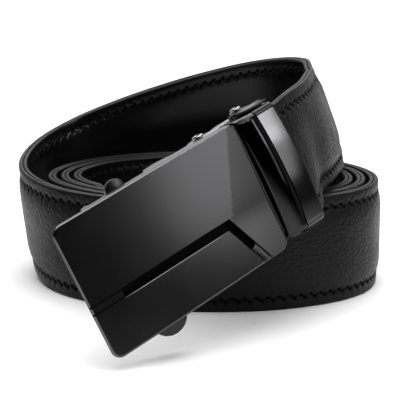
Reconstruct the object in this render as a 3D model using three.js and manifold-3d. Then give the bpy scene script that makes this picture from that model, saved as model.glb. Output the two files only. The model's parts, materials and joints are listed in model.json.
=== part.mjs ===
// Ratchet belt: a rolled strap standing on its edge, with its automatic buckle at the front end.
// Units are millimetres and +Z is up. The belt is seen from the front along +Y.
import * as THREE from 'three';
import Module from 'manifold-3d';

const wasm = await Module();
wasm.setup();

// Strap
const STRAP_WIDTH = 35;
const FACE_THICKNESS = 1.4;
const LINING_THICKNESS = 1.4;
const LAYER_GAP = 0.3;
const PADDING = 0.75;
const EDGE_ROUND = 0.5;
const PAD_INSET = 5.5;
const TIP_TAPER = 20;
const TIP_BLUNT = 0.34;
const SECTION_STEP = 4.6;

// Coil, seen from above, about its own centre
const COIL_X = 1.5;
const COIL_Y = 6;
const TURN_DROP = 4.25;
const LAST_ANGLE = 1320;

// Toothed track behind the tip
const TRACK_LENGTH = 190;
const TRACK_WIDTH = 15;
const TRACK_FLOOR = 0.8;
const TOOTH_HEIGHT = 0.85;
const TOOTH_PITCH = 6.3;
const TRACK_END_MARGIN = 26;

// Buckle pose in the standing belt
const BUCKLE_X = -5.5;
const BUCKLE_Y = -87.5;
const BUCKLE_Z = 33.5;
const BUCKLE_YAW = 37.4;
const BUCKLE_RISE = 21.2;
const BUCKLE_LEAN = 14.6;

// Widths across the buckle, which follow the strap's: half widths from its middle
const SIDE_GAP = 0.3;
const HOOD_WALL = 1.4;
const HOOD_SIDE = STRAP_WIDTH / 2 + SIDE_GAP + HOOD_WALL;
const HOOD_SHOULDER = 1.2;
const WALL_OUTER = HOOD_SIDE;
const CHEEK_THICKNESS = 0.8;
const CHEEK_OUTER = WALL_OUTER + SIDE_GAP + CHEEK_THICKNESS;
const PLATE_LIP = 0.8;
const PLATE_HEIGHT = 2 * (WALL_OUTER + PLATE_LIP);

// Face plate
const PLATE_LEFT = -33.2;
const PLATE_RIGHT = 31.7;
const PLATE_THICKNESS = 2.4;
const PLATE_CORNER = 3;
const PLATE_CHAMFER = 0.45;
const SLOT_LEVEL = -4.8;
const SLOT_WIDTH = 2.7;
const ELBOW_U = 15.8;
const ARM_FOOT_U = 23;
const LEFT_FILLER = 10.6;
const RIGHT_FILLER = 6.4;
const GROOVE_WIDTH = 0.5;
const GROOVE_DEPTH = 0.7;
const CREASE_TOP_U = 29;
const CREASE_TILT = 1.5;

// Buckle frame behind the plate
const WEB_GAP = 0.3;
const WEB_THICKNESS = 0.9;
const WEB_LEFT = -28.5;
const WEB_RIGHT = 31;
const WALL_THICKNESS = 1.3;

// Release lever
const LEVER_PIN_U = 24.8;
const LEVER_PIN_W = -9.9;
const LEVER_LEFT = -15.6;
const LEVER_THICKNESS = 1.2;
const LEVER_BARREL = 1.75;
const UPPER_TAB = { left: -10, right: -3.2, proud: 2.8 };
const LOWER_TAB = { left: -15.4, right: -3.4, proud: 6 };
const PIN_RADIUS = 1.0;
const PIN_CLEARANCE = 0.3;
const PIN_HEAD = 0.7;

// Strap clamp
const CLAMP_PIN_U = 41;
const CLAMP_PIN_W = -10.9;
const HOOD_LEFT = 33.2;
const HOOD_RIGHT = 47.4;
const HOOD_SEAM = 40.2;
const HOOD_FRONT = -0.9;
const HOOD_HALF = HOOD_SIDE - HOOD_SHOULDER;
const HOOD_CROWN = 1.9;
const HOOD_INNER = -3.5;
const HOOD_SKIRT = -6.9;
const STRAP_IN_CLAMP_W = -5.35;
const STRAP_START_U = 33.8;
const JAW_FRONT = -7.4;
const JAW_THICKNESS = 1.1;
const JAW_LEFT = 36;
const JAW_RIGHT = 48;
const EAR_RADIUS = 2;

// Raised turn, from the clamp up over the coil and down to the table:
// angle in degrees, reach of the lower edge from the coil's centre, its lift, and the strap's
// lean outward and along its run per unit of height
const RAISED = [
  { angle: -49.5, reach: 54.9, lift: 36.2, lean: -0.043, along: -0.322 },
  { angle: -38, reach: 50.5, lift: 37.3, lean: -0.126, along: -0.325 },
  { angle: -26, reach: 47.6, lift: 38.1, lean: -0.219, along: -0.332 },
  { angle: -14, reach: 46.5, lift: 38.4, lean: -0.324, along: -0.309 },
  { angle: 0, reach: 46.1, lift: 38.3, lean: -0.387, along: -0.259 },
  { angle: 14, reach: 48.4, lift: 38.2, lean: -0.435, along: -0.209 },
  { angle: 28, reach: 53.7, lift: 38.4, lean: -0.493, along: -0.136 },
  { angle: 42, reach: 56.4, lift: 38.1, lean: -0.364, along: -0.099 },
  { angle: 56, reach: 59, lift: 37.2, lean: -0.339, along: -0.077 },
  { angle: 72, reach: 60.5, lift: 35, lean: -0.36, along: -0.054 },
  { angle: 90, reach: 59.2, lift: 30, lean: -0.304, along: 0.023 },
  { angle: 108, reach: 57.2, lift: 24.2, lean: -0.18, along: 0.065 },
  { angle: 126, reach: 56.3, lift: 18.5, lean: -0.024, along: 0.044 },
  { angle: 144, reach: 57.6, lift: 13.1, lean: 0.107, along: -0.054 },
  { angle: 160, reach: 58.2, lift: 8.5, lean: 0.16, along: -0.105 },
  { angle: 174, reach: 58, lift: 5, lean: 0.148, along: -0.12 },
  { angle: 187, reach: 56.7, lift: 2.7, lean: 0.125, along: -0.096 },
  { angle: 200, reach: 55.4, lift: 1.2, lean: 0.078, along: -0.053 },
  { angle: 213, reach: 54.2, lift: 0.4, lean: 0.044, along: -0.015 },
  { angle: 226, reach: 52.7, lift: 0, lean: 0.015, along: 0 },
];

// First turn on the table: angle and reach
const GROUND = [
  { angle: 240, reach: 51.3 },
  { angle: 270, reach: 50 },
  { angle: 300, reach: 53.2 },
  { angle: 330, reach: 57.9 },
  { angle: 360, reach: 56.4 },
  { angle: 390, reach: 51.2 },
  { angle: 420, reach: 49.2 },
  { angle: 450, reach: 46.2 },
  { angle: 480, reach: 46.6 },
  { angle: 513, reach: 49.4 },
  { angle: 546, reach: 51.6 },
  { angle: 573, reach: 49.3 },
];
const GROUND_START = GROUND[0].angle;

const rad = THREE.MathUtils.degToRad;
const v2 = (x, y) => new THREE.Vector2(x, y);
const v3 = (x, y, z) => new THREE.Vector3(x, y, z);

// Buckle axes: u along the buckle to the clamp, v up across it, w out of its face
const U = v3(
  Math.cos(rad(BUCKLE_RISE)) * Math.cos(rad(BUCKLE_YAW)),
  Math.cos(rad(BUCKLE_RISE)) * Math.sin(rad(BUCKLE_YAW)),
  Math.sin(rad(BUCKLE_RISE)),
);
const LEVEL_OUT = v3(Math.sin(rad(BUCKLE_YAW)), -Math.cos(rad(BUCKLE_YAW)), 0);
const RISING = new THREE.Vector3().crossVectors(LEVEL_OUT, U).normalize();
const V = RISING.clone().multiplyScalar(Math.cos(rad(BUCKLE_LEAN)))
  .addScaledVector(LEVEL_OUT, -Math.sin(rad(BUCKLE_LEAN))).normalize();
const W = new THREE.Vector3().crossVectors(U, V).normalize();
const BUCKLE_ORIGIN = v3(BUCKLE_X, BUCKLE_Y, BUCKLE_Z);
const BUCKLE_MATRIX = new THREE.Matrix4().makeBasis(U, V, W).setPosition(BUCKLE_ORIGIN);
const inBuckle = (u, v, w) => v3(u, v, w).applyMatrix4(BUCKLE_MATRIX);

// Closed bodies

function meshGeometry(positions, triangles) {
  const geometry = new THREE.BufferGeometry();
  geometry.setAttribute('position', new THREE.Float32BufferAttribute(positions, 3));
  geometry.setIndex(triangles);
  return geometry;
}

function toManifold(geometry) {
  const position = geometry.getAttribute('position');
  const seen = new Map();
  const points = [];
  const remap = [];
  for (let i = 0; i < position.count; i += 1) {
    const p = [position.getX(i), position.getY(i), position.getZ(i)];
    const key = p.map((c) => Math.round(c * 1e4)).join(',');
    if (!seen.has(key)) {
      seen.set(key, points.length / 3);
      points.push(...p);
    }
    remap.push(seen.get(key));
  }
  const source = geometry.index ? Array.from(geometry.index.array) : remap.map((_, i) => i);
  const triangles = [];
  for (let i = 0; i < source.length; i += 3) {
    const [a, b, c] = [remap[source[i]], remap[source[i + 1]], remap[source[i + 2]]];
    if (a !== b && b !== c && a !== c) {
      triangles.push(a, b, c);
    }
  }
  return new wasm.Manifold(new wasm.Mesh({
    numProp: 3,
    vertProperties: Float32Array.from(points),
    triVerts: Uint32Array.from(triangles),
  }));
}

function fromManifold(body) {
  const mesh = body.getMesh();
  return meshGeometry(Array.from(mesh.vertProperties), Array.from(mesh.triVerts));
}

const unite = (...bodies) => bodies.reduce((a, b) => a.add(b));

// Extrudes an outline given in two of the buckle's axes along the third.
function slabUV(outline, w0, w1, bevel = 0) {
  const shape = new THREE.Shape(outline);
  const geometry = new THREE.ExtrudeGeometry(shape, {
    depth: w1 - w0 - 2 * bevel,
    bevelEnabled: bevel > 0,
    bevelThickness: bevel,
    bevelSize: bevel,
    bevelOffset: -bevel,
    bevelSegments: 1,
    curveSegments: 6,
  });
  geometry.translate(0, 0, w0 + bevel);
  return geometry;
}

function slabUW(outline, vFrom, vTo) {
  const geometry = new THREE.ExtrudeGeometry(new THREE.Shape(outline), {
    depth: vTo - vFrom,
    bevelEnabled: false,
    curveSegments: 6,
  });
  // the outline's second axis becomes w and the depth runs along v
  geometry.applyMatrix4(new THREE.Matrix4().makeBasis(v3(1, 0, 0), v3(0, 0, 1), v3(0, -1, 0)));
  geometry.translate(0, vTo, 0);
  return toManifold(geometry);
}

const blockUVW = (u0, u1, vLow, vHigh, w0, w1) => {
  const geometry = new THREE.BoxGeometry(u1 - u0, vHigh - vLow, w1 - w0);
  geometry.translate((u0 + u1) / 2, (vLow + vHigh) / 2, (w0 + w1) / 2);
  return toManifold(geometry);
};

const rodAlongV = (u, w, radius, vLow, vHigh, sides = 24) => {
  const geometry = new THREE.CylinderGeometry(radius, radius, vHigh - vLow, sides);
  geometry.translate(u, (vLow + vHigh) / 2, w);
  return toManifold(geometry);
};

// Strap

function catmull(p0, p1, p2, p3, t) {
  const a = 2 * p1;
  const b = p2 - p0;
  const c = 2 * p0 - 5 * p1 + 4 * p2 - p3;
  const d = -p0 + 3 * p1 - 3 * p2 + p3;
  return 0.5 * (a + b * t + c * t * t + d * t * t * t);
}

function tableAt(table, angle, period, drop) {
  const count = table.length;
  const turn = Math.floor((angle - table[0].angle) / period);
  const local = angle - turn * period;
  let i = 0;
  while (i < count - 1 && table[i + 1].angle <= local) {
    i += 1;
  }
  const row = (k) => {
    const wrap = Math.floor(k / count);
    const source = table[((k % count) + count) % count];
    return { angle: source.angle + wrap * period, reach: source.reach - wrap * drop };
  };
  const [p0, p1, p2, p3] = [row(i - 1), row(i), row(i + 1), row(i + 2)];
  const t = (local - p1.angle) / (p2.angle - p1.angle);
  return catmull(p0.reach, p1.reach, p2.reach, p3.reach, t) - turn * drop;
}

function station(angle, reach, lift, lean, along) {
  const out = v3(Math.cos(rad(angle)), Math.sin(rad(angle)), 0);
  const side = v3(-out.y, out.x, 0);
  const across = v3(0, 0, 1).addScaledVector(out, lean).addScaledVector(side, along).normalize();
  const foot = v3(COIL_X, COIL_Y, lift).addScaledVector(out, reach);
  return { foot, across };
}

function strapStations() {
  const rows = [];
  for (const u of [STRAP_START_U, 38.7, 43.6, 48.4]) {
    rows.push({ foot: inBuckle(u, -STRAP_WIDTH / 2, STRAP_IN_CLAMP_W), across: V.clone() });
  }
  for (const r of RAISED) {
    rows.push(station(r.angle, r.reach, r.lift, r.lean, r.along));
  }
  for (let angle = GROUND_START; angle <= LAST_ANGLE + 1e-6; angle += 13.5) {
    rows.push(station(angle, tableAt(GROUND, angle, 360, TURN_DROP), 0, 0, 0));
  }
  return rows;
}

function strapSections() {
  const rows = strapStations();
  const feet = new THREE.CatmullRomCurve3(rows.map((r) => r.foot), false, 'centripetal');
  const heads = new THREE.CatmullRomCurve3(
    rows.map((r) => r.foot.clone().addScaledVector(r.across, STRAP_WIDTH)),
    false,
    'centripetal',
  );
  const fine = [];
  const spans = rows.length - 1;
  const perSpan = 40;
  let run = 0;
  for (let i = 0; i <= spans * perSpan; i += 1) {
    const t = i / (spans * perSpan);
    const foot = feet.getPoint(t);
    const across = heads.getPoint(t).sub(foot).normalize();
    const middle = foot.clone().addScaledVector(across, STRAP_WIDTH / 2);
    if (fine.length > 0) {
      run += middle.distanceTo(fine[fine.length - 1].middle);
    }
    fine.push({ middle, across, run });
  }
  const total = run;
  const count = Math.ceil(total / SECTION_STEP);
  const sections = [];
  let j = 0;
  for (let k = 0; k <= count; k += 1) {
    const target = (k / count) * total;
    while (j < fine.length - 2 && fine[j + 1].run < target) {
      j += 1;
    }
    const f = Math.min(1, (target - fine[j].run) / (fine[j + 1].run - fine[j].run));
    const middle = fine[j].middle.clone().lerp(fine[j + 1].middle, f);
    const across = fine[j].across.clone().lerp(fine[j + 1].across, f).normalize();
    sections.push({ middle, across, run: target });
  }
  for (let k = 0; k <= count; k += 1) {
    const before = sections[Math.max(0, k - 1)].middle;
    const after = sections[Math.min(count, k + 1)].middle;
    const tangent = after.clone().sub(before).normalize();
    sections[k].out = new THREE.Vector3().crossVectors(tangent, sections[k].across).normalize();
  }
  return { sections, total };
}

// Skins a closed ring of points per section, capped at both ends.
function skin(rings) {
  const size = rings[0].length;
  const positions = [];
  const triangles = [];
  for (const ring of rings) {
    for (const p of ring) {
      positions.push(p.x, p.y, p.z);
    }
  }
  for (let i = 0; i < rings.length - 1; i += 1) {
    for (let j = 0; j < size; j += 1) {
      const a = i * size + j;
      const b = i * size + ((j + 1) % size);
      const c = a + size;
      const d = b + size;
      triangles.push(a, b, d, a, d, c);
    }
  }
  const last = (rings.length - 1) * size;
  for (let j = 1; j < size - 1; j += 1) {
    triangles.push(0, j + 1, j);
    triangles.push(last, last + j, last + j + 1);
  }
  return meshGeometry(positions, triangles);
}

const { sections, total: STRAP_LENGTH } = strapSections();

function widthShare(run) {
  const left = STRAP_LENGTH - run;
  return left >= TIP_TAPER ? 1 : TIP_BLUNT + (1 - TIP_BLUNT) * Math.sqrt(Math.max(0, left) / TIP_TAPER);
}

// Cross-section of a strap layer: rows of (share of the half width, inset, height off the seam)
function strapLayer(profile, padded) {
  const rings = sections.map((s) => {
    const half = (STRAP_WIDTH / 2) * widthShare(s.run);
    const inClamp = s.run < HOOD_RIGHT - STRAP_START_U + 6;
    return profile.map((row) => {
      const height = row.height + (padded && row.pad && !inClamp ? PADDING : 0);
      const across = row.side * Math.max(0.5, half - row.inset);
      const p = s.middle.clone().addScaledVector(s.across, across).addScaledVector(s.out, height);
      // the lower edge lies flat on the table where it comes down to it
      p.z = Math.max(p.z, 0);
      return p;
    });
  });
  return skin(rings);
}

const SEAM = LAYER_GAP / 2;
const FACE_PROFILE = [
  { side: 0, inset: 0, height: SEAM },
  { side: 1, inset: 0, height: SEAM },
  { side: 1, inset: 0, height: SEAM + FACE_THICKNESS - EDGE_ROUND },
  { side: 1, inset: EDGE_ROUND, height: SEAM + FACE_THICKNESS },
  { side: 1, inset: PAD_INSET, height: SEAM + FACE_THICKNESS, pad: true },
  { side: -1, inset: PAD_INSET, height: SEAM + FACE_THICKNESS, pad: true },
  { side: -1, inset: EDGE_ROUND, height: SEAM + FACE_THICKNESS },
  { side: -1, inset: 0, height: SEAM + FACE_THICKNESS - EDGE_ROUND },
  { side: -1, inset: 0, height: SEAM },
];
const LINING_PROFILE = [
  { side: 0, inset: 0, height: -SEAM },
  { side: -1, inset: 0, height: -SEAM },
  { side: -1, inset: 0, height: -SEAM - LINING_THICKNESS + EDGE_ROUND },
  { side: -1, inset: EDGE_ROUND, height: -SEAM - LINING_THICKNESS },
  { side: 1, inset: EDGE_ROUND, height: -SEAM - LINING_THICKNESS },
  { side: 1, inset: 0, height: -SEAM - LINING_THICKNESS + EDGE_ROUND },
  { side: 1, inset: 0, height: -SEAM },
];

// Toothed track

function sectionAt(run) {
  const index = Math.min(sections.length - 2, Math.max(0, Math.floor((run / STRAP_LENGTH)
    * (sections.length - 1))));
  const a = sections[index];
  const b = sections[index + 1];
  const f = (run - a.run) / (b.run - a.run);
  return {
    middle: a.middle.clone().lerp(b.middle, f),
    across: a.across.clone().lerp(b.across, f).normalize(),
    out: a.out.clone().lerp(b.out, f).normalize(),
  };
}

function trackGeometry() {
  const back = -SEAM - LINING_THICKNESS - LAYER_GAP;
  const start = STRAP_LENGTH - TRACK_END_MARGIN - TRACK_LENGTH;
  const teeth = Math.round(TRACK_LENGTH / TOOTH_PITCH);
  const rings = [];
  const ring = (run, depth) => {
    const s = sectionAt(run);
    const at = (side, height) => s.middle.clone()
      .addScaledVector(s.across, side * (TRACK_WIDTH / 2))
      .addScaledVector(s.out, height);
    rings.push([at(-1, back - depth), at(1, back - depth), at(1, back), at(-1, back)]);
  };
  for (let i = 0; i < teeth; i += 1) {
    const run = start + i * TOOTH_PITCH;
    ring(run, TRACK_FLOOR);
    ring(run + TOOTH_PITCH * 0.5, TRACK_FLOOR + TOOTH_HEIGHT * 0.5);
    ring(run + TOOTH_PITCH * 0.9, TRACK_FLOOR + TOOTH_HEIGHT);
  }
  ring(start + teeth * TOOTH_PITCH, TRACK_FLOOR);
  return skin(rings);
}

// Face plate

function roundedOutline(left, right, halfV, radius, steps = 5) {
  const points = [];
  const corners = [[right - radius, 1, 0], [left + radius, 1, 90],
    [left + radius, -1, 180], [right - radius, -1, 270]];
  for (const [cu, sv, from] of corners) {
    for (let i = 0; i <= steps; i += 1) {
      const a = rad(from + (90 * i) / steps);
      points.push(v2(cu + radius * Math.cos(a), sv * (halfV - radius) + radius * Math.sin(a)));
    }
  }
  return points;
}

// A strip of given width along a run of points, as a closed outline
function stripOutline(run, width) {
  const left = [];
  const right = [];
  for (let i = 0; i < run.length; i += 1) {
    const before = run[Math.max(0, i - 1)];
    const after = run[Math.min(run.length - 1, i + 1)];
    const inDir = i > 0 ? run[i].clone().sub(before).normalize() : null;
    const outDir = i < run.length - 1 ? after.clone().sub(run[i]).normalize() : null;
    const dir = (inDir && outDir ? inDir.clone().add(outDir) : inDir || outDir).normalize();
    const miter = inDir && outDir ? 1 / Math.max(0.35, dir.dot(outDir)) : 1;
    const normal = v2(-dir.y, dir.x).multiplyScalar((width / 2) * miter);
    left.push(run[i].clone().add(normal));
    right.unshift(run[i].clone().sub(normal));
  }
  return [...left, ...right].reverse();
}

const ELBOW = v2(ELBOW_U, SLOT_LEVEL);
const ARM_FOOT = v2(ARM_FOOT_U, -PLATE_HEIGHT / 2);
const ARM = ARM_FOOT.clone().sub(ELBOW).normalize();

function facePlate() {
  const outline = roundedOutline(PLATE_LEFT, PLATE_RIGHT, PLATE_HEIGHT / 2, PLATE_CORNER);
  let plate = toManifold(slabUV(outline, -PLATE_THICKNESS, 0, PLATE_CHAMFER));
  const cut = (run, width, w0) => toManifold(slabUV(stripOutline(run, width), w0, 1));
  const slotStart = v2(PLATE_LEFT + LEFT_FILLER, SLOT_LEVEL);
  const slotEnd = ARM_FOOT.clone().addScaledVector(ARM, -RIGHT_FILLER);
  plate = plate.subtract(cut([slotStart, ELBOW, slotEnd], SLOT_WIDTH, -PLATE_THICKNESS - 1));
  const armNormal = v2(-ARM.y, ARM.x);
  for (const side of [-1, 1]) {
    const offset = (side * (SLOT_WIDTH - GROOVE_WIDTH)) / 2;
    const a = v2(PLATE_LEFT - 1, SLOT_LEVEL + offset);
    const b = v2(slotStart.x + 0.4, SLOT_LEVEL + offset);
    plate = plate.subtract(cut([a, b], GROOVE_WIDTH, -GROOVE_DEPTH));
    const c = slotEnd.clone().addScaledVector(ARM, -0.4).addScaledVector(armNormal, offset);
    const d = ARM_FOOT.clone().addScaledVector(ARM, 2).addScaledVector(armNormal, offset);
    plate = plate.subtract(cut([c, d], GROOVE_WIDTH, -GROOVE_DEPTH));
  }
  // the right facet falls away from the crease line
  const creaseTop = v3(CREASE_TOP_U, PLATE_HEIGHT / 2, 0);
  const creaseFoot = v3(ELBOW_U + SLOT_WIDTH / 2, SLOT_LEVEL, 0);
  const along = creaseFoot.clone().sub(creaseTop).normalize();
  const away = new THREE.Vector3().crossVectors(v3(0, 0, 1), along).normalize();
  const basis = new THREE.Matrix4().makeBasis(away, v3(0, 0, 1).cross(away).normalize(), v3(0, 0, 1));
  const reach = PLATE_RIGHT - PLATE_LEFT + PLATE_HEIGHT;
  const wedge = new THREE.BoxGeometry(reach, 2 * reach, PLATE_THICKNESS * 4);
  wedge.translate(reach / 2, 0, PLATE_THICKNESS * 2);
  wedge.applyMatrix4(new THREE.Matrix4().makeRotationY(rad(CREASE_TILT)));
  wedge.applyMatrix4(basis);
  wedge.translate(creaseTop.x, creaseTop.y, 0);
  return fromManifold(plate.subtract(toManifold(wedge)));
}

// Buckle frame

// Back edge of the side wall, from the left end to the clamp's ear: (u, w)
const WALL_EDGE = [
  [-22, -3.8],
  [-18.6, -9.4],
  [-17, -10.6],
  [-16.2, -8.6],
  [1.6, -8.6],
  [4.2, -9.2],
  [5, -12],
  [9, -12.5],
  [12.4, -11.4],
  [14.6, -9.7],
  [20, -9.7],
  [22.2, -11.6],
  [24.8, -12.6],
  [27.6, -11.8],
  [30, -10.9],
  [33, -12.6],
];

function wallOutline(front) {
  const points = [v2(WEB_RIGHT, front), v2(WEB_LEFT, front)];
  points.push(v2(WEB_LEFT, front - WEB_THICKNESS));
  for (const [u, w] of WALL_EDGE) {
    points.push(v2(u, w));
  }
  const steps = 10;
  for (let i = 0; i <= steps; i += 1) {
    const a = rad(-90 + (180 * i) / steps);
    points.push(v2(CLAMP_PIN_U + EAR_RADIUS * Math.cos(a), CLAMP_PIN_W + EAR_RADIUS * Math.sin(a)));
  }
  points.push(v2(WEB_RIGHT + 1.6, CLAMP_PIN_W + EAR_RADIUS));
  points.push(v2(WEB_RIGHT, CLAMP_PIN_W + EAR_RADIUS + 1.6));
  return points;
}

function buckleFrame() {
  const front = -PLATE_THICKNESS - WEB_GAP;
  const inner = WALL_OUTER - WALL_THICKNESS;
  let frame = blockUVW(WEB_LEFT, WEB_RIGHT, -inner - 0.5, inner + 0.5, front - WEB_THICKNESS, front);
  for (const side of [-1, 1]) {
    const low = side > 0 ? inner : -WALL_OUTER;
    frame = unite(frame, slabUW(wallOutline(front), low, low + WALL_THICKNESS));
  }
  const reach = WALL_OUTER + 2;
  for (const [u, w] of [[LEVER_PIN_U, LEVER_PIN_W], [CLAMP_PIN_U, CLAMP_PIN_W]]) {
    frame = frame.subtract(rodAlongV(u, w, PIN_RADIUS + PIN_CLEARANCE, -reach, reach));
  }
  return fromManifold(frame);
}

// Release lever

function releaseLever() {
  const half = WALL_OUTER - WALL_THICKNESS - 0.4;
  const top = LEVER_PIN_W + LEVER_THICKNESS / 2 + 0.3;
  const low = top - LEVER_THICKNESS;
  const barrel = rodAlongV(LEVER_PIN_U, LEVER_PIN_W, LEVER_BARREL + 0.3, -half, half, 20);
  let lever = unite(blockUVW(LEVER_LEFT, LEVER_PIN_U, -half, half, low, top), barrel);
  for (const [side, tab] of [[1, UPPER_TAB], [-1, LOWER_TAB]]) {
    const centre = (tab.left + tab.right) / 2;
    const halfTab = (tab.right - tab.left) / 2;
    const root = half - 0.5;
    const outline = [];
    const steps = 10;
    for (let i = 0; i <= steps; i += 1) {
      const a = rad((180 * i) / steps);
      const rise = (WALL_OUTER + tab.proud - root) * Math.sin(a) ** 0.6;
      outline.push(v2(centre + halfTab * Math.cos(a), side * (root + rise)));
    }
    if (side < 0) {
      outline.reverse();
    }
    lever = unite(lever, toManifold(slabUV(outline, low, top)));
  }
  // a row of catch teeth faces the strap's track
  const catchTooth = [v2(15.6, top - 0.2), v2(18.4, top - 0.2), v2(18.2, top + 1.5)];
  lever = unite(lever, slabUW(catchTooth, -8, 8));
  const bore = rodAlongV(LEVER_PIN_U, LEVER_PIN_W, PIN_RADIUS + PIN_CLEARANCE, -half - 1, half + 1);
  return fromManifold(lever.subtract(bore));
}

function pin(u, w, reach) {
  const shaft = rodAlongV(u, w, PIN_RADIUS, -reach, reach);
  const heads = [-1, 1].map((side) => {
    const from = side > 0 ? reach - 0.1 : -reach - PIN_HEAD + 0.1;
    return rodAlongV(u, w, PIN_RADIUS * 1.75, from, from + PIN_HEAD);
  });
  return fromManifold(unite(shaft, ...heads));
}

// Clamp

function hoodFront(u) {
  if (u >= HOOD_SEAM) {
    return HOOD_FRONT - 0.25 * ((u - HOOD_SEAM) / (HOOD_RIGHT - HOOD_SEAM)) ** 2;
  }
  const share = (HOOD_SEAM - u) / (HOOD_SEAM - HOOD_LEFT);
  return HOOD_FRONT + 0.5 - 3.2 * Math.max(0, share - 0.25) ** 2;
}

function clampHood() {
  const across = 10;
  const rows = [HOOD_LEFT, 34.2, 35.4, 36.8, 38.4, HOOD_SEAM - 0.35, HOOD_SEAM - 0.3,
    HOOD_SEAM + 0.3, HOOD_SEAM + 0.35, 42.6, 45, HOOD_RIGHT];
  const rings = rows.map((u) => {
    const seam = Math.abs(u - HOOD_SEAM) < 0.32;
    const front = hoodFront(u) - (seam ? 0.7 : 0);
    const ring = [];
    for (let i = 0; i <= across; i += 1) {
      const v = HOOD_HALF * (1 - (2 * i) / across);
      ring.push(v3(u, v, front + HOOD_CROWN * (1 - (v / HOOD_HALF) ** 2)));
    }
    ring.push(v3(u, -HOOD_SIDE, Math.min(-2.9, front - 1.4)));
    ring.push(v3(u, -HOOD_SIDE, HOOD_SKIRT));
    ring.push(v3(u, -STRAP_WIDTH / 2 - SIDE_GAP, HOOD_SKIRT));
    ring.push(v3(u, -STRAP_WIDTH / 2 - SIDE_GAP, HOOD_INNER - 0.001));
    ring.push(v3(u, STRAP_WIDTH / 2 + SIDE_GAP, HOOD_INNER - 0.001));
    ring.push(v3(u, STRAP_WIDTH / 2 + SIDE_GAP, HOOD_SKIRT));
    ring.push(v3(u, HOOD_SIDE, HOOD_SKIRT));
    ring.push(v3(u, HOOD_SIDE, Math.min(-2.9, front - 1.4)));
    return ring;
  });
  return { rings };
}

// A ring outline that isn't convex needs its own end caps.
function skinWithCaps(rings, outline) {
  const body = skin(rings);
  const size = rings[0].length;
  const index = Array.from(body.index.array).slice(0, (rings.length - 1) * size * 6);
  const faces = THREE.ShapeUtils.triangulateShape(outline, []);
  const last = (rings.length - 1) * size;
  const turn = THREE.ShapeUtils.area(outline) > 0;
  for (const [a, b, c] of faces) {
    index.push(...(turn ? [a, c, b] : [a, b, c]));
    index.push(...(turn ? [last + a, last + b, last + c] : [last + a, last + c, last + b]));
  }
  body.setIndex(index);
  return body;
}

function clampHoodGeometry() {
  const { rings } = clampHood();
  const outline = rings[0].map((p) => v2(p.y, p.z));
  return skinWithCaps(rings, outline);
}

function clampJaw() {
  const back = JAW_FRONT - JAW_THICKNESS;
  const cheekInner = WALL_OUTER + SIDE_GAP;
  let jaw = blockUVW(JAW_LEFT, JAW_RIGHT, -CHEEK_OUTER, CHEEK_OUTER, back, JAW_FRONT);
  const cheekFront = HOOD_INNER - 0.4;
  const cheek = [
    v2(JAW_RIGHT - 0.2, cheekFront),
    v2(CLAMP_PIN_U - 1.6, cheekFront),
    v2(CLAMP_PIN_U - 3.4, JAW_FRONT + 0.4),
  ];
  const steps = 8;
  const bossRadius = EAR_RADIUS + 0.3;
  for (let i = 0; i <= steps; i += 1) {
    const a = rad(180 + (180 * i) / steps);
    cheek.push(v2(CLAMP_PIN_U + bossRadius * Math.cos(a), CLAMP_PIN_W + bossRadius * Math.sin(a)));
  }
  cheek.push(v2(CLAMP_PIN_U + 3.6, back));
  for (const side of [-1, 1]) {
    const low = side > 0 ? cheekInner : -CHEEK_OUTER;
    jaw = unite(jaw, slabUW(cheek, low, low + CHEEK_THICKNESS));
  }
  // gripping ridges face the strap's back
  for (let u = JAW_LEFT + 3; u < JAW_RIGHT - 1; u += 2.2) {
    const ridge = [v2(u, JAW_FRONT - 0.3), v2(u + 1, JAW_FRONT - 0.3), v2(u + 0.5, JAW_FRONT + 0.22)];
    jaw = unite(jaw, slabUW(ridge, -16, 16));
  }
  const reach = CHEEK_OUTER + 2;
  const bore = rodAlongV(CLAMP_PIN_U, CLAMP_PIN_W, PIN_RADIUS + PIN_CLEARANCE, -reach, reach);
  return fromManifold(jaw.subtract(bore));
}

// Assembly

const BLACK_LEATHER = { color: 0x1b1b1c, roughness: 0.62, metalness: 0 };
const BLACK_LINING = { color: 0x121213, roughness: 0.45, metalness: 0 };
const BLACK_NYLON = { color: 0x101011, roughness: 0.5, metalness: 0 };
const GUNMETAL = { color: 0x3a3a3c, roughness: 0.34, metalness: 0.9 };
const DARK_METAL = { color: 0x1d1d1f, roughness: 0.25, metalness: 0.9 };
const SATIN_STEEL = { color: 0x8a8a8c, roughness: 0.4, metalness: 0.9 };

const belt = new THREE.Group();
belt.name = 'ratchet_belt';

function add(name, geometry, look, onBuckle) {
  if (onBuckle) {
    geometry.applyMatrix4(BUCKLE_MATRIX);
  }
  const mesh = new THREE.Mesh(geometry, new THREE.MeshStandardMaterial(look));
  mesh.name = name;
  belt.add(mesh);
}

add('strap_face', strapLayer(FACE_PROFILE, true), BLACK_LEATHER, false);
add('strap_lining', strapLayer(LINING_PROFILE, false), BLACK_LINING, false);
add('ratchet_track', trackGeometry(), BLACK_NYLON, false);
add('face_plate', facePlate(), GUNMETAL, true);
add('buckle_frame', buckleFrame(), SATIN_STEEL, true);
add('release_lever', releaseLever(), SATIN_STEEL, true);
add('lever_pin', pin(LEVER_PIN_U, LEVER_PIN_W, WALL_OUTER + SIDE_GAP), SATIN_STEEL, true);
add('clamp_hood', clampHoodGeometry(), DARK_METAL, true);
add('clamp_jaw', clampJaw(), SATIN_STEEL, true);
add('clamp_pin', pin(CLAMP_PIN_U, CLAMP_PIN_W, CHEEK_OUTER + SIDE_GAP), SATIN_STEEL, true);

// The origin is the middle of the bounding box at table height.
const box = new THREE.Box3().setFromObject(belt);
const middle = box.getCenter(new THREE.Vector3());
for (const mesh of belt.children) {
  mesh.geometry.translate(-middle.x, -middle.y, -box.min.z);
}

export default belt;
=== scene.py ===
"""Looks of the rolled ratchet belt: detailed pieces, materials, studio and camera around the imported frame."""
import json
import math

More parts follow.
